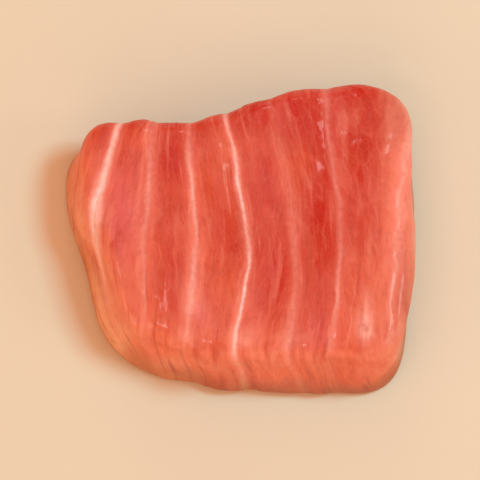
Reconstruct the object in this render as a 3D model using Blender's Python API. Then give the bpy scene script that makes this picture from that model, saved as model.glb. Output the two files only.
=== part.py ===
"""One slice of raw tuna cut for sashimi, a soft four-sided block of flesh on its flat underside.

Pale seams of connective tissue part the flesh into bands. They run along +Y, +X is across them, and
+Z is up. The origin is at the middle of the slice's box, on the surface that it rests on.
"""

import math

import bmesh
import bpy
import numpy as np

MM = 0.001

# Thickness, and the radii that roll over its upper and its lower edge
THICKNESS = 11.8 * MM
UPPER_ROLL = 1.8 * MM
LOWER_ROLL = 1.3 * MM

# Corners of the outline at half height, anticlockwise from the front left, each with the length of
# side that its rounding takes up
CORNERS = (
    (-17.0 * MM, -13.9 * MM, 11.2 * MM),
    (19.5 * MM, -16.9 * MM, 6.2 * MM),
    (20.7 * MM, 18.5 * MM, 6.5 * MM),
    (-21.3 * MM, 12.8 * MM, 4.5 * MM),
)

# Sides from each corner to the next: how far the middle bows out, and how far the first half sways out
# while the second half sways in
BOWS = (0.9 * MM, 0.8 * MM, -0.1 * MM, -0.3 * MM)
SWAYS = (0.2 * MM, 0.2 * MM, 1.2 * MM, 1.0 * MM)

# The knife went through at a slant: from the underside to the top the block leans over by LEAN, and
# draws in all round by DRAW_IN
LEAN = (0.9 * MM, 3.2 * MM)
DRAW_IN = 1.2 * MM

# The top falls off towards the rim from a crown a little right of the middle
CROWN_FALL = 1.3 * MM
CROWN_PLACE = (3.0 * MM, -1.0 * MM)
CROWN_REACH = 21.0 * MM

# Seams from left to right: where each crosses the middle of the top, how far it has moved by the back
# edge, and how far by the front edge
SEAMS = (
    (-23.4 * MM, 3.4 * MM, 3.2 * MM),
    (-17.6 * MM, 3.0 * MM, 2.6 * MM),
    (-12.0 * MM, 1.9 * MM, 0.6 * MM),
    (-5.2 * MM, -0.8 * MM, -2.0 * MM),
    (1.2 * MM, -2.7 * MM, -1.5 * MM),
    (7.1 * MM, -3.4 * MM, -0.8 * MM),
    (12.4 * MM, -1.9 * MM, -2.1 * MM),
    (19.1 * MM, 0.7 * MM, -0.8 * MM),
    (25.0 * MM, 0.8 * MM, -0.6 * MM),
)
SEAM_BACK = 14.0 * MM
SEAM_FRONT = -12.5 * MM
SEAM_SLANT = 0.27  # sideways run of a seam for each unit of depth below the top
SEAM_LEVEL = 11.0 * MM  # height at which the seams cross their stated places

# Height of the bands between the seams, on the top and where they come over the edges, the share by
# which it differs from band to band, and the width below which a band is lower
BAND_RISE = 0.18 * MM
BAND_RISE_AT_EDGE = 0.40 * MM
BAND_SPREAD = 0.45
FULL_BAND = 5.5 * MM
EDGE_BELT = 5.0 * MM

# Slow swells of the soft flesh: length of each wave, its direction in the plan, and where it starts
SWELLS = (
    (23 * MM, 0.4, 0.6),
    (15 * MM, 1.9, 2.2),
    (10 * MM, 2.7, 4.1),
)
SWELL_RISE = 0.16 * MM

# A small lump where the top goes over the front right corner
LUMP_PLACE = (15.0 * MM, -11.6 * MM)
LUMP_WIDTH = 2.6 * MM
LUMP_RISE = 0.5 * MM

# Faces across the seams, along them and up the sides, and how much finer they are at the edges
CUTS = (54, 34, 9)
FINER_AT_EDGES = 0.3


def unit(vector):
    """The vector at a length of one."""
    return vector / np.linalg.norm(vector)


def corner_curve(start, corner, end, share):
    """Points on the rounding of a corner, by their share of the way along it."""
    share = share[:, None]
    return (1 - share) ** 2 * start + 2 * share * (1 - share) * corner + share**2 * end


def side_points(side):
    """Points along one side of the outline, from the middle of its first corner to that of its last."""
    before, first, last, after = (np.array(CORNERS[(side + step) % 4]) for step in (-1, 0, 1, 2))
    before, first, last, after = before[:2], first[:2], last[:2], after[:2]
    first_round = CORNERS[side][2]
    last_round = CORNERS[(side + 1) % 4][2]
    along = unit(last - first)
    outward = np.array((along[1], -along[0]))
    leave = first + along * first_round
    arrive = last - along * last_round
    half = np.linspace(0, 0.5, 16)
    opening = corner_curve(first - unit(first - before) * first_round, first, leave, half + 0.5)
    closing = corner_curve(arrive, last, last + unit(after - last) * last_round, half)
    middle = leave + (arrive - leave) * np.linspace(0, 1, 40)[1:-1, None]
    run = np.concatenate((opening, middle, closing))
    share = math.pi * length_share(run)[:, None]
    wave = BOWS[side] * np.sin(share) + SWAYS[side] * np.sin(2 * share)
    return run + outward * wave * np.sin(share)


def length_share(run):
    """How far along a run of points each one lies, from 0 to 1."""
    length = np.cumsum(np.linalg.norm(np.diff(run, axis=0), axis=1))
    return np.concatenate(([0], length)) / length[-1]


def outline(turn):
    """Points of the outline. turn counts its sides from the front left corner, from 0 to 4."""
    turns = []
    points = []
    for side in range(4):
        run = side_points(side)
        turns.append(side + length_share(run))
        points.append(run)
    turns = np.concatenate(turns)
    points = np.concatenate(points)
    return np.stack([np.interp(turn, turns, points[:, axis]) for axis in (0, 1)], axis=1)


def roll(reach, radius):
    """Inset and drop round a rolled edge. Reach is above 0 on the face and below 0 down the side."""
    angle = math.pi / 4 * (1 - np.clip(reach / radius, -1, 1))
    inset = radius * (1 - np.sin(angle)) + np.maximum(reach - radius, 0)
    drop = radius * (1 - np.cos(angle)) + np.maximum(-reach - radius, 0)
    return inset, drop


def block_turn(across, along):
    """Where a point of the square block lies on the way round it, in sides from the front left corner."""
    rim = np.maximum(np.maximum(abs(across), abs(along)), 1e-9)
    across = across / rim
    along = along / rim
    front, right, back = along <= -1 + 1e-6, across >= 1 - 1e-6, along >= 1 - 1e-6
    turns = ((across + 1) / 2, 1 + (along + 1) / 2, 2 + (1 - across) / 2)
    return np.select((front, right, back), turns, 3 + (1 - along) / 2)


def block_to_slice(block):
    """Carries points of a block from -1 to 1 across and along, and 0 to 1 up, to the form of the slice."""
    across, along, up = block.T
    rim = np.maximum(abs(across), abs(along))
    edge = outline(block_turn(across, along))
    half_width = np.linalg.norm(edge, axis=1)
    inward = (1 - rim) * half_width
    upper_inset, upper_drop = roll(inward - (1 - up) * THICKNESS, UPPER_ROLL)
    lower_inset, lower_drop = roll(inward - up * THICKNESS, LOWER_ROLL)
    in_upper_half = up > 0.5
    inset = np.where(in_upper_half, upper_inset, lower_inset)
    height = np.where(in_upper_half, THICKNESS - upper_drop, lower_drop)
    level = height / THICKNESS - 0.5
    drawn = (1 - inset / half_width) * (1 - DRAW_IN * level / half_width)
    plan = edge * drawn[:, None] + np.outer(level, LEAN)
    fall = np.sum((plan - CROWN_PLACE) ** 2, axis=1) / CROWN_REACH**2
    height = height * (1 - CROWN_FALL / THICKNESS * fall)
    return np.column_stack((plan, height))


def seam_bands(points):
    """Each point's place among the seams, whole numbers on them and shares between, and its band's width."""
    x, y, z = points.T
    back = np.clip(y / SEAM_BACK, 0, 2) ** 1.2
    front = np.clip((y + 2 * MM) / (SEAM_FRONT + 2 * MM), 0, 2) ** 1.5
    places = [middle + at_back * back + at_front * front for middle, at_back, at_front in SEAMS]
    places = np.array(places) + SEAM_SLANT * (SEAM_LEVEL - z)
    bands = np.zeros(len(x))
    width = np.full(len(x), FULL_BAND)
    for left, right in zip(places[:-1], places[1:]):
        bands += np.clip((x - left) / (right - left), 0, 1)
        width = np.where((x > left) & (x < right), right - left, width)
    return bands, width


def band_relief(points, rim):
    """How far the flesh between the seams stands out, more near the rim, where it comes over the edges."""
    bands, width = seam_bands(points)
    band = np.floor(bands)
    height = (1 + BAND_SPREAD * np.sin(2.6 * band)) * np.minimum(width / FULL_BAND, 1)
    crest = np.sin(math.pi * (bands - band)) ** 1.5 * height
    inward = (1 - rim) * np.linalg.norm(points[:, :2], axis=1)
    belt = np.clip(1 - inward / EDGE_BELT, 0, 1) ** 2
    rise = BAND_RISE + (BAND_RISE_AT_EDGE - BAND_RISE) * belt
    return (crest - 0.56) * rise


def slow_relief(points):
    """Slow swells of the soft flesh, and the lump at the front right."""
    x, y, z = points.T
    waves = np.zeros(len(x))
    for length, direction, start in SWELLS:
        way = x * math.cos(direction) + y * math.sin(direction) + z
        waves += SWELL_RISE * np.sin(2 * math.pi * way / length + start)
    gap = np.hypot(x - LUMP_PLACE[0], y - LUMP_PLACE[1])
    return waves + LUMP_RISE * np.exp(-((gap / LUMP_WIDTH) ** 2))


def cut_block(mesh):
    """A cube cut into CUTS faces each way, with its corners from -1 to 1."""
    bmesh.ops.create_cube(mesh, size=2)
    for axis, cuts in enumerate(CUTS):
        edges = [e for e in mesh.edges if abs((e.verts[0].co - e.verts[1].co)[axis]) > 1e-6]
        bmesh.ops.subdivide_edges(mesh, edges=edges, cuts=cuts - 1, use_grid_fill=True)


def read_block(mesh):
    """The vertices of the cut cube, from -1 to 1 across and along, and 0 to 1 upwards."""
    mesh.verts.ensure_lookup_table()
    block = np.array([v.co for v in mesh.verts])
    block += FINER_AT_EDGES * np.sin(math.pi * block) / math.pi
    block[:, 2] = (block[:, 2] + 1) / 2
    return block


def flesh_material():
    """Wet raw flesh."""
    material = bpy.data.materials.new("tuna_flesh")
    material.use_nodes = True
    shader = material.node_tree.nodes["Principled BSDF"]
    shader.inputs["Base Color"].default_value = (0.68, 0.115, 0.07, 1)
    shader.inputs["Roughness"].default_value = 0.3
    shader.inputs["Metallic"].default_value = 0
    return material


def move_vertices(mesh, points):
    """Puts each vertex at its point."""
    for vertex, point in zip(mesh.verts, points):
        vertex.co = point


def make_slice():
    """The slice as one solid, with its box centred over the origin."""
    mesh = bmesh.new()
    cut_block(mesh)
    block = read_block(mesh)
    points = block_to_slice(block)
    move_vertices(mesh, points)
    mesh.normal_update()
    normals = np.array([v.normal for v in mesh.verts])
    rim = abs(block[:, :2]).max(axis=1)
    above_foot = np.clip(points[:, 2] / LOWER_ROLL - 0.2, 0, 1)
    relief = (band_relief(points, rim) + slow_relief(points)) * above_foot
    points = points + relief[:, None] * normals
    points[:, :2] -= (points[:, :2].min(axis=0) + points[:, :2].max(axis=0)) / 2
    move_vertices(mesh, points)
    data = bpy.data.meshes.new("tuna_slice")
    mesh.to_mesh(data)
    mesh.free()
    data.materials.append(flesh_material())
    data.shade_smooth()
    bpy.context.scene.collection.objects.link(bpy.data.objects.new("tuna_slice", data))


for old in list(bpy.data.objects):
    bpy.data.objects.remove(old, do_unlink=True)
make_slice()
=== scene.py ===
"""One slice of raw tuna cut for sashimi, on a plain pale floor, seen from almost straight above.

The flesh lies in bands parted by pale seams. The seams run along +Y, +X is across them, and +Z is up.
"""

import math
from collections import namedtuple
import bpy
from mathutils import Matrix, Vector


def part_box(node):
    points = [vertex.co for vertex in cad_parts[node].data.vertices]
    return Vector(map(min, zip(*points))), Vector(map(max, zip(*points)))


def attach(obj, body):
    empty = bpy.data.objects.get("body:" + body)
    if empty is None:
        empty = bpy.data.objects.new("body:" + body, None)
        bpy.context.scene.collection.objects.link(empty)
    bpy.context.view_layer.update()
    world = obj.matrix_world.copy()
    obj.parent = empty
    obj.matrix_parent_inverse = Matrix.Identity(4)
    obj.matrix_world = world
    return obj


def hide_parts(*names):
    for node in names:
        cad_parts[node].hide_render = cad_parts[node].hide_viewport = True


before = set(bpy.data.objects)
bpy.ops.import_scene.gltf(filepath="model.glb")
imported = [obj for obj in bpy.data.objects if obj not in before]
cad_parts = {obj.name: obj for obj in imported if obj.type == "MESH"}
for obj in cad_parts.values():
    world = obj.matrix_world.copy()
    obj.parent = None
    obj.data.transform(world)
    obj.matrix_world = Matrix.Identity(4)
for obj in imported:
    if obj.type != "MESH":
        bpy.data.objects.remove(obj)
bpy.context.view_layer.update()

from types import SimpleNamespace

import bmesh
import bpy
import numpy as np
from mathutils import Vector

MM = 0.001

# The block before it settles, in millimetres: its corners at half height, how far its top leans towards
# +X and +Y, and how much the top is drawn in
BLOCK_CORNERS = ((-17.0, -13.9), (19.5, -16.9), (20.7, 18.5), (-21.3, 12.8))
TOP_LEAN = (0.9, 3.2)
TOP_DRAW_IN = 0.94

# Cells of the block across the seams, along them and up the sides, each as two cuts in turn
CELL_STEPS = ((16, 12), (16, 10), (8, 6))

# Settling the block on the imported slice: rounds, and how much each one relaxes the flesh
SETTLE_ROUNDS = 5
RELAX_TURNS = 30
LAST_RELAX_TURNS = 10

# Seams from left to right, in millimetres from their origin: where each crosses the middle of the top,
# how far it has moved by the back edge and by the front edge, how pale it is at the stations from the
# front to the back, how firm and how wide its thread is, and how wide the pale flesh beside it is.
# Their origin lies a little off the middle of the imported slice, and a band between two is mostly as wide
# as BAND_WIDTH.
Seam = namedtuple("Seam", "middle at_back at_front pale firm width halo")
SEAMS = (
    Seam(-23.4, 3.4, 3.2, (0.30, 0.30, 0.30, 0.30, 0.30), firm=0.20, width=0.50, halo=1.20),
    Seam(-17.95, 3.3, 2.7, (0.15, 0.25, 1.00, 0.80, 0.70), firm=1.00, width=0.76, halo=0.95),
    Seam(-11.2, 1.0, -0.9, (0.38, 0.48, 0.46, 0.66, 0.40), firm=0.30, width=0.60, halo=1.10),
    Seam(-5.0, -1.4, -1.7, (0.34, 0.60, 0.54, 0.80, 0.34), firm=0.50, width=0.55, halo=0.95),
    Seam(1.2, -2.8, -1.5, (0.80, 0.76, 0.40, 0.76, 0.48), firm=1.00, width=0.44, halo=0.65),
    Seam(7.0, -2.4, -0.8, (0.50, 0.40, 0.44, 0.30, 0.18), firm=0.25, width=0.60, halo=0.95),
    Seam(12.3, -1.6, -1.4, (0.28, 0.46, 0.24, 0.32, 0.28), firm=0.70, width=0.42, halo=0.60),
    # At the right rim the seam is pale partly as a painted highlight along the rim
    Seam(19.0, 2.0, -0.8, (0.26, 0.50, 0.75, 0.90, 1.00), firm=0.15, width=0.60, halo=1.60),
    Seam(25.0, 0.8, -0.6, (0.20, 0.20, 0.20, 0.20, 0.20), firm=0.20, width=0.50, halo=1.20),
)
PALE_STATIONS = (-12.0, -6.0, 0.0, 6.0, 12.0)
SEAM_ORIGIN = (-0.10, -0.33)
BAND_WIDTH = 6.3

# Where the seams reach the back and the front edge, where they start to bend to the front, how sharply
# they bend, and how much they slant from the level where they are measured
SEAM_BACK = 14.0
SEAM_FRONT = -12.5
FRONT_BEND_START = -2.0
BACK_BEND = 1.4
FRONT_BEND = 1.5
SEAM_SLANT = 0.27
SEAM_LEVEL = 11.0

# How the seams wander on their way: reach, length of the wave, and how much it turns from seam to seam.
# A millimetre up counts as much less than one along.
WANDERS = ((0.16, 14.0, 1.7), (0.07, 6.1, 2.9), (0.02, 2.9, 4.4))
WANDER_UP = 0.4

# Patches of the flesh, in millimetres: the middle of each, its reach across and along, and how strong it
# is. Seams are thick and threads show where their patches are, dim is painted shade on the rim, and the
# rest are tints, some of them partly painted light.
PATCHES = {
    "thick": ((-17.8, 2.4, 1.6, 3.4, 1.2),),
    # Pale flesh, and over the lump at the front right a painted highlight
    "pale": (
        (-5.8, -7.4, 1.3, 2.6, 0.40),
        (15.0, -10.9, 0.9, 1.5, 1.4),
        (15.2, -8.4, 0.7, 2.0, 0.4),
        (-16.3, 3.0, 0.8, 2.4, 0.3),
        (0.2, -12.4, 1.5, 1.3, 0.45),
        (6.0, -12.6, 1.4, 1.3, 0.35),
        (-6.4, -12.0, 1.4, 1.2, 0.35),
    ),
    # Painted glow on the shaded left and lower left sides
    "amber": (
        (-21.8, 5.0, 2.0, 8.0, 0.85),
        (-20.2, 1.2, 1.8, 3.2, 0.8),
        (-17.8, -8.0, 2.6, 6.0, 1.0),
        (-15.2, -12.4, 2.6, 2.6, 0.9),
        (-9.5, -16.2, 5.0, 2.2, 0.5),
    ),
    "threads": (
        (13.5, -9.0, 4.5, 4.0, 1.0),
        (16.0, 6.0, 2.5, 8.0, 0.3),
        (20.9, 1.0, 1.6, 14.0, 1.0),
        (-20.9, 2.0, 1.6, 12.0, 1.0),
    ),
    # Darker flesh, and along the back edge painted shade
    "deep": (
        (9.8, 3.5, 2.0, 8.0, 0.9),
        (15.5, 9.5, 3.4, 5.5, 0.4),
        (14.3, 5.5, 1.3, 4.0, 0.4),
        (12.8, 14.8, 2.3, 3.0, 0.9),
        (3.4, 8.6, 1.4, 2.6, 0.5),
        (7.0, 14.5, 7.0, 3.0, 1.0),
        (-11.0, 14.0, 9.0, 1.2, 0.8),
        (1.0, 15.6, 5.0, 1.5, 0.8),
        (13.0, 18.4, 7.0, 1.6, 0.8),
        (15.0, 15.0, 2.6, 2.4, 0.35),
        (-8.2, 9.5, 1.7, 3.5, 1.0),
        (-1.9, 0.0, 1.8, 5.0, 0.3),
        (4.0, -3.5, 1.9, 6.0, 1.0),
        (-7.8, -5.0, 1.5, 3.4, 0.6),
        (10.0, -8.0, 2.0, 4.0, 0.4),
        (4.2, 4.1, 0.7, 0.9, 0.9),
        (-0.6, -1.2, 0.6, 0.8, 0.9),
    ),
    # Pinker flesh, partly painted sheen
    "rose": (
        (-14.4, 3.5, 2.4, 6.0, 1.0),
        (3.2, 8.0, 2.0, 6.0, 0.3),
        (1.8, -9.0, 1.6, 3.0, 0.4),
        (-4.6, -9.4, 1.4, 2.0, 0.7),
        (9.6, -11.5, 1.8, 2.2, 0.7),
    ),
    "coral": (
        (-13.0, -8.0, 3.5, 5.0, 0.5),
        (-2.2, -5.0, 1.6, 2.4, 0.5),
        (18.5, 5.0, 1.6, 9.0, 0.8),
        (16.6, -7.0, 3.0, 5.5, 0.45),
        (0.0, -12.5, 20.0, 4.0, 0.5),
        (-18.5, 7.0, 1.8, 5.0, 0.5),
    ),
    # Painted shade on the right rim and the upper right corner
    "dim": (
        (20.6, -9.5, 2.3, 7.5, 1.0),
        (19.4, 15.0, 2.6, 4.5, 0.8),
    ),
}

# Relief pressed into the flesh, in millimetres, with the share of its depth that any seam has and what a
# pale one adds, and the heights over which it comes in above the foot
SEAM_DEPTH = 0.09
ANY_SEAM = 0.4
PALE_SEAM = 0.8
SEAM_HALF_WIDTH = 0.30
BAND_CREST = 0.04
RIDGE_RISE = 0.02
FOOT_TOP = 0.4
FOOT_FADE = 2.0

# The flakes part a little at the rim: how deep and how wide, how steep the rim is there and how far to
# either side of that they part, and the height over which the parting comes in
PARTING_DEPTH = 0.05
PARTING_HALF_WIDTH = SEAM_HALF_WIDTH * 1.6
RIM_STEEPNESS = 0.4
RIM_REACH = 0.25
RIM_FOOT = 4.0

# Unevenness of the cut flesh: how large each kind is and how far it rises, in millimetres
UNEVENNESS = {"swell": (6.0, 0.16), "dimple": (2.2, 0.07), "grain": (0.9, 0.03)}

# Colours of the flesh, with painted light and shade among them. The last two are laid on by multiplying.
RED = (0.61, 0.047, 0.020, 1)
WARM_RED = (0.71, 0.090, 0.043, 1)
CORAL = (0.81, 0.165, 0.082, 1)
# Pinker flesh, partly painted sheen
ROSE_AND_SHEEN = (0.76, 0.125, 0.120, 1)
# Painted glow: the steep sides paler and more orange, as if lit through the thin flesh
PAINTED_SIDE_GLOW = (0.93, 0.200, 0.070, 1)
# Darker flesh, and painted shade along the back edge
DEEP_RED_AND_SHADE = (0.55, 0.011, 0.003, 1)
# Pale flesh, and a painted highlight on the lump at the front right
PALE_PINK_AND_HIGHLIGHT = (0.98, 0.400, 0.310, 1)
# Painted glow on the shaded left and lower left sides
PAINTED_AMBER_GLOW = (0.96, 0.460, 0.265, 1)
STAIN = (0.44, 0.016, 0.006, 1)
# Painted highlight along the crests of the front rim
LIT_CREST = (0.95, 0.290, 0.180, 1)
PALE_GRAIN = (0.93, 0.27, 0.18, 1)
DARK_GRAIN = (0.46, 0.020, 0.009, 1)
BESIDE_SEAM = (0.98, 0.25, 0.175, 1)
SEAM_THREAD = (1.0, 0.56, 0.49, 1)
SIDE_STRAND = (0.96, 0.36, 0.25, 1)
THIN_LINE = (0.95, 0.32, 0.21, 1)
# Painted shade on the rim, laid on by multiplying
PAINTED_RIM_SHADE = (0.80, 0.88, 0.89, 1)
# Painted shade at the foot, laid on by multiplying
PAINTED_FOOT_SHADE = (0.54, 0.58, 0.30, 1)

# Patterns of the flesh: how large its patches are, how wide and long its bundles of fibre, how much deeper
# than long they are and how far they sway, and how wide, long and deep their ripples and its streaks are
TONE_PATCHES = 7.0 * MM
BLOTCHES = 2.6 * MM
FLECKS = 0.6 * MM
QUIVERS = 0.9 * MM
SWELLINGS = 4.5 * MM
BRANCHINGS = 6.0 * MM
WET_PATCHES = 4.0 * MM
FINE_BUNDLES = (0.36 * MM, 0.70 * MM)
COARSE_BUNDLES = (1.1 * MM, 3.2 * MM)
BUNDLE_DEPTH = 1.4
BUNDLE_SWAY = 0.7 * MM
BUNDLE_RIPPLES = (1.4 * MM, 2.2 * MM, 2.2 * MM)
BROAD_STREAKS = (1.0 * MM, 9.0 * MM, 9.0 * MM)
SLIM_STREAKS = (0.30 * MM, 2.2 * MM, 2.2 * MM)

# Between which places along, or heights, these come in: the painted highlight on the crests of the front
# rim, the front side where the threads are hidden, the rim where painted shade dims it, and the foot where
# painted shade darkens it
CREST_ALONG = (2.0 * MM, -11.0 * MM)
HIDDEN_ALONG = (-9.0 * MM, -12.5 * MM)
RIM_UP = (7.5 * MM, 10.0 * MM)
FOOT_UP = (7.0 * MM, 1.0 * MM)

# How light enters the wet flesh, and how smooth the film on it is
WATER_IOR = 1.34
FILM_ROUGHNESS = 0.09
GLOW_SHARE = 0.40
GLOW_REACH = 1.6 * MM
GLOW_SPREAD = (1.0, 0.28, 0.18)

# The floor: its side in metres, how rough it is, how large its patches are, and their two colours
FLOOR_SIDE = 3.0
FLOOR_ROUGHNESS = 0.85
FLOOR_PATCHES = 40.0 * MM
FLOOR_COLOURS = ((0.735, 0.555, 0.405, 1), (0.765, 0.580, 0.425, 1))

# The lamps: azimuth from +X towards +Y and elevation in degrees, distance and side in metres, power in
# watts, colour, and whether the wet flesh mirrors it. The panel hangs three times, once at each turn.
Lamp = namedtuple("Lamp", "azimuth elevation distance side power colour mirrored")
LAMPS = {
    "key": Lamp(24, 57, 0.70, 0.17, 3.7, (0.26, 0.80, 1.0), False),
    "front_fill": Lamp(-95, 40, 0.80, 0.60, 0.9, (1.0, 0.78, 0.58), False),
    "left_fill": Lamp(190, 24, 0.80, 0.40, 0.5, (1.0, 0.50, 0.26), False),
    "back_fill": Lamp(100, 32, 0.80, 0.50, 0.45, (1.0, 0.66, 0.42), False),
    "sheen": Lamp(130, 80, 0.70, 0.34, 0.17, (0.95, 0.98, 1.0), True),
    "side_glint": Lamp(-6, 38, 0.60, 0.13, 0.26, (1.0, 0.98, 0.96), True),
    "top_glint": Lamp(205, 66, 0.60, 0.08, 0.14, (1.0, 0.98, 0.97), True),
    "back_glint": Lamp(70, 64, 0.60, 0.06, 0.08, (1.0, 0.98, 0.97), True),
}
PANEL = Lamp(0, 21, 0.80, 0.30, 0.34, (1.0, 0.97, 0.94), True)
PANEL_TURNS = (95, 215, 335)

# The light all round, and what the wet flesh mirrors of it
STUDIO_GLOW = (0.696, 0.344, 0.161, 1)
MIRRORED_GLOW = (0.26, 0.17, 0.11, 1)

# The camera: degrees from straight above towards the front, the height it aims at, how far it is, and its
# lens and the depth that it sees
CAMERA_TILT = 4.0
CAMERA_AIM = 5.7 * MM
CAMERA_DISTANCE = 0.485
CAMERA_LENS = 300
CAMERA_CLIP = (0.01, 5)


def select_by(piece, kind, wanted):
    """Selects in edit mode only the vertices, edges or faces that are wanted."""
    mesh = bmesh.from_edit_mesh(piece.data)
    bpy.ops.mesh.select_mode(type=kind)
    bpy.ops.mesh.select_all(action="DESELECT")
    for part in {"VERT": mesh.verts, "EDGE": mesh.edges, "FACE": mesh.faces}[kind]:
        part.select = wanted(part)
    mesh.select_flush_mode()
    bmesh.update_edit_mesh(piece.data)


def cut_block():
    """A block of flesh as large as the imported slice, with its corners where the knife left them."""
    low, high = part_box("tuna_slice")
    bpy.ops.object.select_all(action="DESELECT")
    bpy.ops.mesh.primitive_cube_add(size=1, location=(low + high) / 2, scale=high - low)
    block = bpy.context.object
    block.name = "tuna_flesh_slice"
    bpy.ops.object.transform_apply(location=True, rotation=True, scale=True)
    bpy.ops.object.mode_set(mode="EDIT")
    for x, y in BLOCK_CORNERS:
        start = Vector((low.x if x < 0 else high.x, low.y if y < 0 else high.y))
        select_by(block, "VERT", lambda v: (v.co.x * x > 0) and (v.co.y * y > 0))
        bpy.ops.transform.translate(value=(x * MM - start.x, y * MM - start.y, 0))
    half_lean = [lean * MM / 2 for lean in TOP_LEAN]
    select_by(block, "FACE", lambda f: f.normal.z > 0.9)
    bpy.ops.transform.resize(value=(TOP_DRAW_IN, TOP_DRAW_IN, 1))
    bpy.ops.transform.translate(value=(half_lean[0], half_lean[1], 0))
    select_by(block, "FACE", lambda f: f.normal.z < -0.9)
    bpy.ops.transform.translate(value=(-half_lean[0], -half_lean[1], 0))
    bpy.ops.object.mode_set(mode="OBJECT")
    return block


def cut_cells(block):
    """Cuts the block into fine cells, across the seams, along them and up the sides."""
    bpy.ops.object.mode_set(mode="EDIT")
    for axis, steps in enumerate(CELL_STEPS):
        for step in steps:
            select_by(block, "EDGE", lambda e: main_axis(e) == axis)
            bpy.ops.mesh.subdivide(number_cuts=step - 1)
    bpy.ops.object.mode_set(mode="OBJECT")


def main_axis(edge):
    """The axis that an edge of the block runs along most."""
    span = [abs(value) for value in edge.verts[1].co - edge.verts[0].co]
    return span.index(max(span))


def finish_modifier(piece, name, kind, **values):
    """Adds a modifier with these values to a piece and applies it."""
    bpy.context.view_layer.objects.active = piece
    modifier = piece.modifiers.new(name, kind)
    for key, value in values.items():
        setattr(modifier, key, value)
    bpy.ops.object.modifier_apply(modifier=modifier.name)


def smooth_former():
    """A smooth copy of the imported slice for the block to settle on. It is thrown away afterwards."""
    bpy.ops.object.select_all(action="DESELECT")
    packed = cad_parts["tuna_slice"]
    former = bpy.data.objects.new("former", packed.data.copy())
    bpy.context.scene.collection.objects.link(former)
    bpy.context.view_layer.objects.active = former
    former.select_set(True)
    bpy.ops.object.mode_set(mode="EDIT")
    bpy.ops.mesh.select_all(action="SELECT")
    bpy.ops.mesh.remove_doubles(threshold=0.001 * MM)
    bpy.ops.mesh.tris_convert_to_quads()
    bpy.ops.object.mode_set(mode="OBJECT")
    finish_modifier(former, "round", "SUBSURF", levels=2, render_levels=2)
    return former


def settle_on_form(block):
    """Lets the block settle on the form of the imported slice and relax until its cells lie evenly."""
    former = smooth_former()
    for turns in [RELAX_TURNS] * SETTLE_ROUNDS + [LAST_RELAX_TURNS]:
        finish_modifier(block, "settle", "SHRINKWRAP", target=former, wrap_method="NEAREST_SURFACEPOINT")
        finish_modifier(block, "relax", "SMOOTH", factor=0.5, iterations=turns)
    bpy.data.objects.remove(former)


def read_points(piece, what="co"):
    """The places or the normals of a piece's vertices."""
    values = np.empty(len(piece.data.vertices) * 3)
    piece.data.vertices.foreach_get(what, values)
    return values.reshape(-1, 3)


def seam_lines(points):
    """Where each seam runs past each point, in millimetres across."""
    y, z = points[:, 1] - SEAM_ORIGIN[1], points[:, 2]
    back = np.clip(y / SEAM_BACK, 0, 2) ** BACK_BEND
    front = np.clip((y - FRONT_BEND_START) / (SEAM_FRONT - FRONT_BEND_START), 0, 2) ** FRONT_BEND
    lines = []
    for number, seam in enumerate(SEAMS):
        line = SEAM_ORIGIN[0] + seam.middle + seam.at_back * back + seam.at_front * front
        line += SEAM_SLANT * (SEAM_LEVEL - z)
        for reach, length, turn in WANDERS:
            line += reach * np.sin(2 * math.pi * (y + WANDER_UP * z) / length + turn * number)
        lines.append(line)
    return np.array(lines)


def seam_places(points, lines):
    """Each point's place among the seams: whole numbers on the seams, and the shares between them."""
    places = np.zeros(len(points))
    for left, right in zip(lines[:-1], lines[1:]):
        places += np.clip((points[:, 0] - left) / (right - left), 0, 1)
    return places


def nearest_seam_traits(points, places):
    """How pale, how firm and how wide the seam nearest to each point is, and the pale flesh beside it."""
    nearest = np.clip(np.rint(places), 0, len(SEAMS) - 1).astype(int)
    pale = np.zeros(len(points))
    for number, seam in enumerate(SEAMS):
        pale = np.where(nearest == number, np.interp(points[:, 1], PALE_STATIONS, seam.pale), pale)
    firm, width, halo = np.array([(seam.firm, seam.width, seam.halo) for seam in SEAMS])[nearest].T
    return {"seam_pale": pale, "seam_firm": firm, "seam_width": width, "seam_halo": halo}


def share_above_foot(height):
    """How far the relief has come in at each height in millimetres: none at the foot, all of it above."""
    return np.clip((height - FOOT_TOP) / FOOT_FADE, 0, 1)


def press_relief(slice_, places, pale):
    """Presses the seams in, crowns the bands between them, and parts the flakes a little at the rim."""
    points = read_points(slice_) / MM
    normals = read_points(slice_, "normal")
    share = places - np.floor(places)
    gap = np.minimum(share, 1 - share) * BAND_WIDTH
    rim = 1 - np.clip(normals[:, 2], 0, 1)
    at_rim = np.exp(-(((rim - RIM_STEEPNESS) / RIM_REACH) ** 2)) * np.clip(points[:, 2] / RIM_FOOT - 1, 0, 1)
    groove = np.exp(-((gap / SEAM_HALF_WIDTH) ** 2)) * (ANY_SEAM + PALE_SEAM * pale)
    parting = np.exp(-((gap / PARTING_HALF_WIDTH) ** 2)) * at_rim
    crest = np.sin(math.pi * share) ** 0.8 - 0.6
    ridges = np.sin(6 * math.pi * share + 0.5 * points[:, 1] + np.floor(places)) * np.sin(math.pi * share)
    rise = BAND_CREST * crest + RIDGE_RISE * ridges - SEAM_DEPTH * groove - PARTING_DEPTH * parting
    points += (rise * share_above_foot(points[:, 2]))[:, None] * normals
    slice_.data.vertices.foreach_set("co", (points * MM).ravel())
    slice_.data.update()


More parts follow.
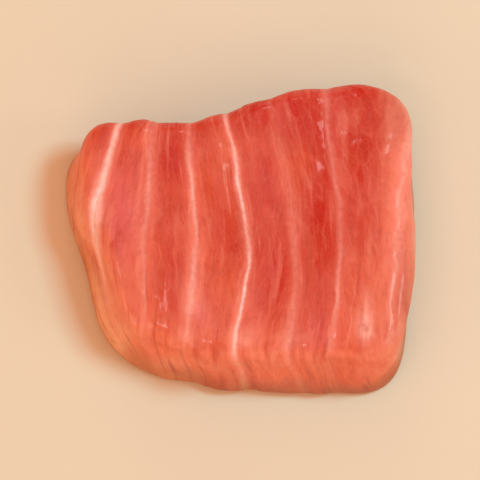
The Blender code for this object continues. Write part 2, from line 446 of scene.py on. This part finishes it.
def roughen(slice_):
    """Soft unevenness of the cut flesh, none of it on the underside."""
    group = slice_.vertex_groups.new(name="above_foot")
    tenths = np.rint(share_above_foot(read_points(slice_)[:, 2] / MM) * 10)
    for level in range(1, 11):
        group.add(np.nonzero(tenths == level)[0].tolist(), level / 10, "REPLACE")
    for name, (size, rise) in UNEVENNESS.items():
        texture = bpy.data.textures.new(name, "CLOUDS")
        texture.noise_scale = size * MM
        texture.noise_depth = 2
        finish_modifier(
            slice_, name, "DISPLACE", texture=texture, texture_coords="LOCAL", strength=rise * MM,
            mid_level=0.5, vertex_group="above_foot",
        )


def patch_shares(points):
    """How much of each kind of patch there is at each point."""
    shares = {}
    for kind, patches in PATCHES.items():
        shares[kind] = np.zeros(len(points))
        for x, y, across, along, strength in patches:
            gap = ((points[:, 0] - x) / across) ** 2 + ((points[:, 1] - y) / along) ** 2
            shares[kind] += strength * np.exp(-gap)
    return shares


def keep_on_surface(piece, name, values):
    """Keeps one value for each vertex, for the material to read."""
    piece.data.attributes.new(name, "FLOAT", "POINT").data.foreach_set("value", values)


def centre_in_box(piece):
    """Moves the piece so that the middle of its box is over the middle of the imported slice."""
    low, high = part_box("tuna_slice")
    points = read_points(piece)
    shift = (np.array(low) + np.array(high)) / 2 - (points.min(axis=0) + points.max(axis=0)) / 2
    points[:, :2] += shift[:2]
    piece.data.vertices.foreach_set("co", points.ravel())
    piece.data.update()


def make_slice():
    """The slice of flesh, settled, pressed and roughened."""
    block = cut_block()
    cut_cells(block)
    settle_on_form(block)
    points = read_points(block) / MM
    places = seam_places(points, seam_lines(points))
    traits = nearest_seam_traits(points, places)
    press_relief(block, places, traits["seam_pale"])
    roughen(block)
    centre_in_box(block)
    keep_on_surface(block, "seam_place", places)
    for name, trait in traits.items():
        keep_on_surface(block, name, trait)
    keep_on_surface(block, "steepness", 1 - np.clip(read_points(block, "normal")[:, 2], 0, 1))
    for kind, share in patch_shares(points).items():
        keep_on_surface(block, kind + "_patch", np.clip(share, 0, 1))
    block.data.shade_smooth()
    return block


def connect(tree, feed, socket):
    """Feeds an input with a value, or links it to an output."""
    if isinstance(feed, bpy.types.NodeSocket):
        tree.links.new(feed, socket)
    else:
        socket.default_value = feed


def add(tree, kind, feeds=None, **settings):
    """Adds a node to a tree, with these feeds for its inputs."""
    node = tree.nodes.new("ShaderNode" + kind)
    for name, value in settings.items():
        setattr(node, name, value)
    for key, feed in (feeds or {}).items():
        connect(tree, feed, node.inputs[key])
    return node


def use_group(tree, group, **feeds):
    """Places a node group in a tree and gives its outputs."""
    node = tree.nodes.new("ShaderNodeGroup")
    node.node_tree = group
    for name, feed in feeds.items():
        connect(tree, feed, node.inputs[name.replace("_", " ")])
    return node.outputs


def work_out(tree, operation, *values):
    """One step of arithmetic."""
    return add(tree, "Math", dict(enumerate(values)), operation=operation).outputs[0]


def product(tree, *values):
    """Several values multiplied."""
    result = values[0]
    for value in values[1:]:
        result = work_out(tree, "MULTIPLY", result, value)
    return result


def swing(tree, value, middle, reach):
    """How far a value swings to either side of its middle, times a reach."""
    return work_out(tree, "MULTIPLY", work_out(tree, "SUBTRACT", value, middle), reach)


def remap(tree, value, from_low, from_high, to_low=0.0, to_high=1.0):
    """Takes a value from one range to another, easing in and out."""
    feeds = {0: value, 1: from_low, 2: from_high, 3: to_low, 4: to_high}
    return add(tree, "MapRange", feeds, interpolation_type="SMOOTHSTEP").outputs[0]


def bell(tree, gap, reach):
    """A soft bell that is 1 where the gap is nothing and fades within this reach."""
    share = work_out(tree, "POWER", work_out(tree, "DIVIDE", gap, reach), 2.0)
    return work_out(tree, "EXPONENT", work_out(tree, "MULTIPLY", share, -1.0))


def mix_colours(tree, share, under, over, way="MIX"):
    """Lays one colour over another by a share."""
    mix = add(tree, "Mix", {0: share, 6: under, 7: over}, data_type="RGBA", blend_type=way)
    return mix.outputs[2]


def lay_colours(tree, colour, layers):
    """Lays several colours over the one that is there, in turn, each by its own share."""
    for share, tint in layers:
        colour = mix_colours(tree, share, colour, tint)
    return colour


def clouds(tree, vector, size, detail):
    """Soft noise, with patches of this size in metres."""
    return add(tree, "TexNoise", {"Vector": vector, "Scale": 1 / size, "Detail": detail}).outputs[0]


def stretch(tree, across, along, up, sizes):
    """A place in the flesh, measured in grains of these three sizes in metres."""
    parts = [work_out(tree, "DIVIDE", value, size) for value, size in zip((across, along, up), sizes)]
    return add(tree, "CombineXYZ", dict(enumerate(parts))).outputs[0]


def streaks(tree, across, along, up, sizes, detail=2.0):
    """Soft noise drawn out along the seams, with streaks of these sizes in metres."""
    vector = stretch(tree, across, along, up, sizes)
    return add(tree, "TexNoise", {"Vector": vector, "Scale": 1.0, "Detail": detail}).outputs[0]


def kept(tree, name):
    """A value that the slice keeps on its surface."""
    return add(tree, "Attribute", attribute_name=name).outputs["Fac"]


def new_group(name, inputs, outputs):
    """An empty node group, its inputs and its outputs."""
    group = bpy.data.node_groups.new(name, "ShaderNodeTree")
    for label, value in inputs:
        socket = group.interface.new_socket(label, in_out="INPUT", socket_type="NodeSocketFloat")
        socket.default_value = value
    for label in outputs:
        group.interface.new_socket(label, in_out="OUTPUT", socket_type="NodeSocketFloat")
    source = group.nodes.new("NodeGroupInput")
    sink = group.nodes.new("NodeGroupOutput")
    return group, source.outputs, sink.inputs


def muscle_grain_group():
    """Bundles of muscle fibre: the tone of each bundle, and the pale walls between them."""
    inputs = (("Across", 0), ("Along", 0), ("Up", 0), ("Width", 0.5 * MM), ("Length", 1.5 * MM))
    group, given, out = new_group("muscle_grain", inputs, ("Tone", "Walls"))
    across, along, up = given["Across"], given["Along"], given["Up"]
    ripple = streaks(group, across, along, up, BUNDLE_RIPPLES)
    across = work_out(group, "ADD", across, swing(group, ripple, 0.5, BUNDLE_SWAY))
    depth = work_out(group, "MULTIPLY", given["Length"], BUNDLE_DEPTH)
    cells_at = stretch(group, across, along, up, (given["Width"], given["Length"], depth))
    feeds = {"Vector": cells_at, "Scale": 1.0}
    tone = add(group, "TexVoronoi", feeds, feature="F1").outputs["Color"]
    wall = add(group, "TexVoronoi", feeds, feature="DISTANCE_TO_EDGE").outputs["Distance"]
    group.links.new(add(group, "SeparateXYZ", {0: tone}).outputs[0], out["Tone"])
    group.links.new(remap(group, wall, 0.16, 0.02), out["Walls"])
    return group


def seam_group():
    """A seam between two bands: its firm thread, and the pale flesh beside it."""
    inputs = (("Place", 0), ("Shift", 0), ("Width", 0.5), ("Halo Width", 1.0))
    group, given, out = new_group("pale_seam", inputs, ("Thread", "Halo"))
    moved = work_out(group, "ADD", work_out(group, "ADD", given["Place"], given["Shift"]), 0.5)
    share = work_out(group, "FRACT", moved)
    gap = work_out(group, "ABSOLUTE", work_out(group, "SUBTRACT", share, 0.5))
    gap = work_out(group, "MULTIPLY", gap, BAND_WIDTH)
    group.links.new(bell(group, gap, work_out(group, "MULTIPLY", given["Width"], 0.6)), out["Thread"])
    group.links.new(bell(group, gap, given["Halo Width"]), out["Halo"])
    return group


def find_place(tree):
    """Where a point of the flesh lies among the seams, how steep it is there, and how it is mottled."""
    spot = add(tree, "TexCoord").outputs["Object"]
    _, along, up = add(tree, "SeparateXYZ", {0: spot}).outputs
    place = kept(tree, "seam_place")
    return SimpleNamespace(
        spot=spot,
        place=place,
        across=work_out(tree, "MULTIPLY", place, BAND_WIDTH * MM),
        along=along,
        up=up,
        steep=kept(tree, "steepness"),
        pale=kept(tree, "seam_pale"),
        blotches=clouds(tree, spot, BLOTCHES, 3.0),
        flecks=remap(tree, clouds(tree, spot, FLECKS, 3.0), 0.35, 0.60, 0.72, 1.0),
    )


def tint_flesh(tree, at, amber):
    """Deep red, coral and rose in slow change, soft stains, and painted sheen, glow, shade and highlight."""
    patches = clouds(tree, at.spot, TONE_PATCHES, 3.0)
    colour = mix_colours(tree, remap(tree, patches, 0.36, 0.64), RED, WARM_RED)
    ragged = work_out(tree, "MULTIPLY_ADD", at.blotches, 1.2, 0.4)
    # Partly painted light: sheen in rose, shade in deep, highlight in pale; painted glow on steep sides and
    # in amber
    for share, most, tint in (
        (kept(tree, "coral_patch"), 0.85, CORAL),
        (kept(tree, "rose_patch"), 0.85, ROSE_AND_SHEEN),
        (at.steep, 0.75, PAINTED_SIDE_GLOW),
        (kept(tree, "deep_patch"), 1.0, DEEP_RED_AND_SHADE),
        (kept(tree, "pale_patch"), 1.0, PALE_PINK_AND_HIGHLIGHT),
        (amber, 0.9, PAINTED_AMBER_GLOW),
    ):
        share = work_out(tree, "MINIMUM", product(tree, share, ragged, most), 1.0)
        colour = mix_colours(tree, share, colour, tint)
    on_top = remap(tree, at.steep, 0.6, 0.1, 0.3, 1.0)
    stained = work_out(tree, "MULTIPLY", remap(tree, at.blotches, 0.44, 0.30, 0, 0.22), on_top)
    return mix_colours(tree, stained, colour, STAIN)


def grain_of_flesh(tree, at):
    """Broad and slim streaks along the bands, and bundles of fibre that lean from band to band."""
    band = work_out(tree, "FLOOR", at.place)
    chance = add(tree, "TexWhiteNoise", {"W": band}, noise_dimensions="1D").outputs["Value"]
    lean = swing(tree, chance, 0.5, 0.6)
    leaning = work_out(tree, "ADD", at.across, work_out(tree, "MULTIPLY", lean, at.along))
    group = muscle_grain_group()
    feeds = {"Across": leaning, "Along": at.along, "Up": at.up}
    return SimpleNamespace(
        fine=use_group(tree, group, Width=FINE_BUNDLES[0], Length=FINE_BUNDLES[1], **feeds),
        coarse=use_group(tree, group, Width=COARSE_BUNDLES[0], Length=COARSE_BUNDLES[1], **feeds),
        broad=streaks(tree, at.across, at.along, at.up, BROAD_STREAKS),
        slim=streaks(tree, leaning, at.along, at.up, SLIM_STREAKS, 3.0),
    )


def lay_grain(tree, at, grain, colour):
    """Lays the grain, stronger on the cut sides, and a painted highlight along the crests of the front rim.
    """
    forward = remap(tree, at.along, *CREST_ALONG)
    # Where the painted highlight lies along the crests of the front rim
    crest = product(tree, remap(tree, at.steep, 0.02, 0.20), remap(tree, at.steep, 0.65, 0.25), forward)
    crest = product(tree, crest, remap(tree, grain.broad, 0.35, 0.65, 0.1, 0.55))
    marked = remap(tree, at.steep, 0.4, 0.9, 1.0, 1.9)
    return lay_colours(tree, colour, (
        (crest, LIT_CREST),
        (product(tree, remap(tree, grain.broad, 0.52, 0.74, 0, 0.34), marked), PALE_GRAIN),
        (product(tree, remap(tree, grain.broad, 0.48, 0.28, 0, 0.38), marked), DARK_GRAIN),
        (remap(tree, grain.slim, 0.52, 0.74, 0, 0.10), PALE_GRAIN),
        (remap(tree, grain.slim, 0.48, 0.28, 0, 0.12), DARK_GRAIN),
        (work_out(tree, "MULTIPLY", grain.coarse["Walls"], 0.05), PALE_GRAIN),
        (work_out(tree, "MULTIPLY", grain.fine["Walls"], 0.06), PALE_GRAIN),
        (remap(tree, grain.fine["Tone"], 0.6, 1.0, 0, 0.14), DARK_GRAIN),
        (remap(tree, grain.coarse["Tone"], 0.5, 1.0, 0, 0.10), PALE_GRAIN),
    ))


def lay_seams(tree, at, group, quiver, colour):
    """Lays the pale flesh beside the seams and their firm threads. Gives the colour and the threads."""
    swelling = remap(tree, clouds(tree, at.spot, SWELLINGS, 1.0), 0.3, 0.7, 0.75, 1.3)
    thicker = work_out(tree, "ADD", kept(tree, "thick_patch"), 1.0)
    width = product(tree, kept(tree, "seam_width"), thicker, swelling)
    seam = use_group(
        tree, group, Place=at.place, Shift=quiver, Width=width, Halo_Width=kept(tree, "seam_halo")
    )
    soft = product(tree, seam["Halo"], at.pale, 0.78, at.flecks)
    shown = product(tree, remap(tree, at.pale, 0.05, 0.9), kept(tree, "seam_firm"), at.flecks)
    low_front = remap(tree, at.along, *HIDDEN_ALONG)
    hidden = product(tree, remap(tree, at.steep, 0.08, 0.5), low_front, 0.65)
    firm = product(tree, seam["Thread"], shown, work_out(tree, "SUBTRACT", 1.0, hidden))
    return lay_colours(tree, colour, ((soft, BESIDE_SEAM), (firm, SEAM_THREAD))), seam["Thread"]


def lay_strands(tree, at, group, quiver, colour):
    """Lays side strands that leave the seams, and thin lines within the bands."""
    threads = kept(tree, "threads_patch")
    aside = add(tree, "Mapping", {"Vector": at.spot, "Location": (0, 0.05, 0)}).outputs[0]
    wide = clouds(tree, aside, BRANCHINGS, 2.0)
    branch = work_out(tree, "ADD", quiver, swing(tree, wide, 0.40, 0.55))
    side = use_group(tree, group, Place=at.place, Shift=branch, Width=0.26)
    faint = remap(tree, at.pale, 0.2, 0.9, 0.05, 0.22)
    faint = work_out(tree, "ADD", faint, work_out(tree, "MULTIPLY", threads, 0.35))
    close = work_out(tree, "MULTIPLY", at.place, 3.0)
    thin = use_group(tree, group, Place=close, Shift=swing(tree, wide, 0.5, 2.0), Width=0.6)
    seen = remap(tree, clouds(tree, at.spot, SWELLINGS, 2.0), 0.48, 0.68, 0.0, 0.14)
    seen = work_out(tree, "ADD", seen, work_out(tree, "MULTIPLY", threads, 0.2))
    return lay_colours(tree, colour, (
        (product(tree, side["Thread"], faint, at.flecks), SIDE_STRAND),
        (product(tree, thin["Thread"], seen, at.flecks), THIN_LINE),
    ))


def shade_rim_and_foot(tree, at, amber, colour):
    """Paints shade on the rim where its patches are, and at the foot, less where the painted glow is."""
    rim = work_out(tree, "MULTIPLY", kept(tree, "dim_patch"), remap(tree, at.up, *RIM_UP))
    colour = mix_colours(tree, rim, colour, PAINTED_RIM_SHADE, "MULTIPLY")
    lit = work_out(tree, "SUBTRACT", 1.0, work_out(tree, "MULTIPLY", amber, 0.8))
    # Painted shade at the foot, less under the painted glow
    foot = work_out(tree, "MULTIPLY", remap(tree, at.up, *FOOT_UP), lit)
    return mix_colours(tree, foot, colour, PAINTED_FOOT_SHADE, "MULTIPLY")


def wet_flesh(tree, shader, at, reliefs):
    """Gives the flesh its wet film and its fine relief."""
    wet = clouds(tree, at.spot, WET_PATCHES, 3.0)
    drier = remap(tree, at.steep, 0.3, 0.8, 0, 0.25)
    rough = work_out(tree, "ADD", remap(tree, wet, 0.35, 0.65, 0.28, 0.42), drier)
    film = product(tree, remap(tree, wet, 0.7, 0.4, 0.55, 1.0), remap(tree, at.steep, 0.3, 0.8, 1.0, 0.25))
    height = 0.0
    for relief, rise in reliefs:
        height = work_out(tree, "MULTIPLY_ADD", relief, rise * MM, height)
    bump = add(tree, "Bump", {"Height": height, "Strength": 1.0, "Distance": 1.0})
    tree.links.new(rough, shader.inputs["Roughness"])
    tree.links.new(film, shader.inputs["Coat Weight"])
    tree.links.new(bump.outputs[0], shader.inputs["Normal"])
    shader.inputs["Metallic"].default_value = 0
    shader.inputs["IOR"].default_value = WATER_IOR
    shader.inputs["Coat Roughness"].default_value = FILM_ROUGHNESS
    shader.inputs["Coat IOR"].default_value = WATER_IOR
    shader.inputs["Subsurface Weight"].default_value = GLOW_SHARE
    shader.inputs["Subsurface Radius"].default_value = GLOW_SPREAD
    shader.inputs["Subsurface Scale"].default_value = GLOW_REACH


def new_material(name):
    """A material, its tree and its shader."""
    material = bpy.data.materials.new(name)
    material.use_nodes = True
    return material, material.node_tree, material.node_tree.nodes["Principled BSDF"]


def flesh_material():
    """Wet raw tuna: red flesh in bands, mottled, with fine grain, pale seams and painted light and shade."""
    material, tree, shader = new_material("wet_tuna_flesh")
    at = find_place(tree)
    # Painted glow on the shaded left side, weaker where it is steepest
    amber = product(tree, kept(tree, "amber_patch"), remap(tree, at.steep, 0.88, 0.6, 0.4, 1.0))
    quiver = swing(tree, clouds(tree, at.spot, QUIVERS, 3.0), 0.5, 0.022)
    grain = grain_of_flesh(tree, at)
    seam = seam_group()
    colour = tint_flesh(tree, at, amber)
    colour = lay_grain(tree, at, grain, colour)
    colour, thread = lay_seams(tree, at, seam, quiver, colour)
    colour = lay_strands(tree, at, seam, quiver, colour)
    colour = shade_rim_and_foot(tree, at, amber, colour)
    tree.links.new(colour, shader.inputs["Base Color"])
    wet_flesh(tree, shader, at, (
        (grain.broad, 0.05),
        (grain.slim, 0.03),
        (grain.fine["Walls"], -0.010),
        (grain.coarse["Walls"], -0.012),
        (thread, -0.02),
        (at.blotches, 0.06),
    ))
    return material


def floor_material():
    """Plain pale warm board, very faintly uneven."""
    material, tree, shader = new_material("pale_floor")
    spot = add(tree, "TexCoord").outputs["Object"]
    colour = mix_colours(tree, clouds(tree, spot, FLOOR_PATCHES, 3.0), *FLOOR_COLOURS)
    tree.links.new(colour, shader.inputs["Base Color"])
    shader.inputs["Roughness"].default_value = FLOOR_ROUGHNESS
    return material


def lay_floor():
    """The plain floor that the slice rests on."""
    bpy.ops.object.select_all(action="DESELECT")
    bpy.ops.mesh.primitive_plane_add(size=FLOOR_SIDE, location=(0, 0, 0))
    floor = bpy.context.object
    floor.name = "floor"
    floor.data.materials.append(floor_material())
    return floor


def hang_lamp(name, lamp):
    """Hangs a soft square lamp that faces the slice."""
    turn, rise = math.radians(lamp.azimuth), math.radians(lamp.elevation)
    way = Vector((math.cos(turn) * math.cos(rise), math.sin(turn) * math.cos(rise), math.sin(rise)))
    light = bpy.data.lights.new(name, "AREA")
    light.shape = "SQUARE"
    light.size = lamp.side
    light.energy = lamp.power
    light.color = lamp.colour
    hung = bpy.data.objects.new(name, light)
    hung.location = way * lamp.distance
    hung.rotation_euler = (-way).to_track_quat("-Z", "Y").to_euler()
    hung.visible_glossy = lamp.mirrored
    bpy.context.scene.collection.objects.link(hung)


def light_studio():
    """Soft light from the upper right, and warm light all round, dimmer where the wet flesh mirrors it."""
    for name, lamp in LAMPS.items():
        hang_lamp(name, lamp)
    for turn in PANEL_TURNS:
        hang_lamp(f"panel_{turn}", PANEL._replace(azimuth=turn))
    world = bpy.data.worlds.new("studio")
    world.use_nodes = True
    tree = world.node_tree
    mirrored = add(tree, "LightPath").outputs["Is Glossy Ray"]
    glow = mix_colours(tree, mirrored, STUDIO_GLOW, MIRRORED_GLOW)
    tree.links.new(glow, tree.nodes["Background"].inputs["Color"])
    bpy.context.scene.world = world
    bpy.context.scene.view_settings.view_transform = "Standard"


def set_camera():
    """A long lens above the slice and a little in front of it, with +Y at the top of the picture."""
    camera = bpy.data.cameras.new("camera")
    camera.lens = CAMERA_LENS
    camera.clip_start, camera.clip_end = CAMERA_CLIP
    eye = bpy.data.objects.new("camera", camera)
    eye.rotation_euler = (math.radians(CAMERA_TILT), 0, 0)
    back_off = eye.rotation_euler.to_matrix() @ Vector((0, 0, CAMERA_DISTANCE))
    eye.location = Vector((0, 0, CAMERA_AIM)) + back_off
    bpy.context.scene.collection.objects.link(eye)
    bpy.context.scene.camera = eye


set_camera()
tuna = make_slice()
tuna.data.materials.append(flesh_material())
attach(tuna, "root")
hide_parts("tuna_slice")
lay_floor()
light_studio()
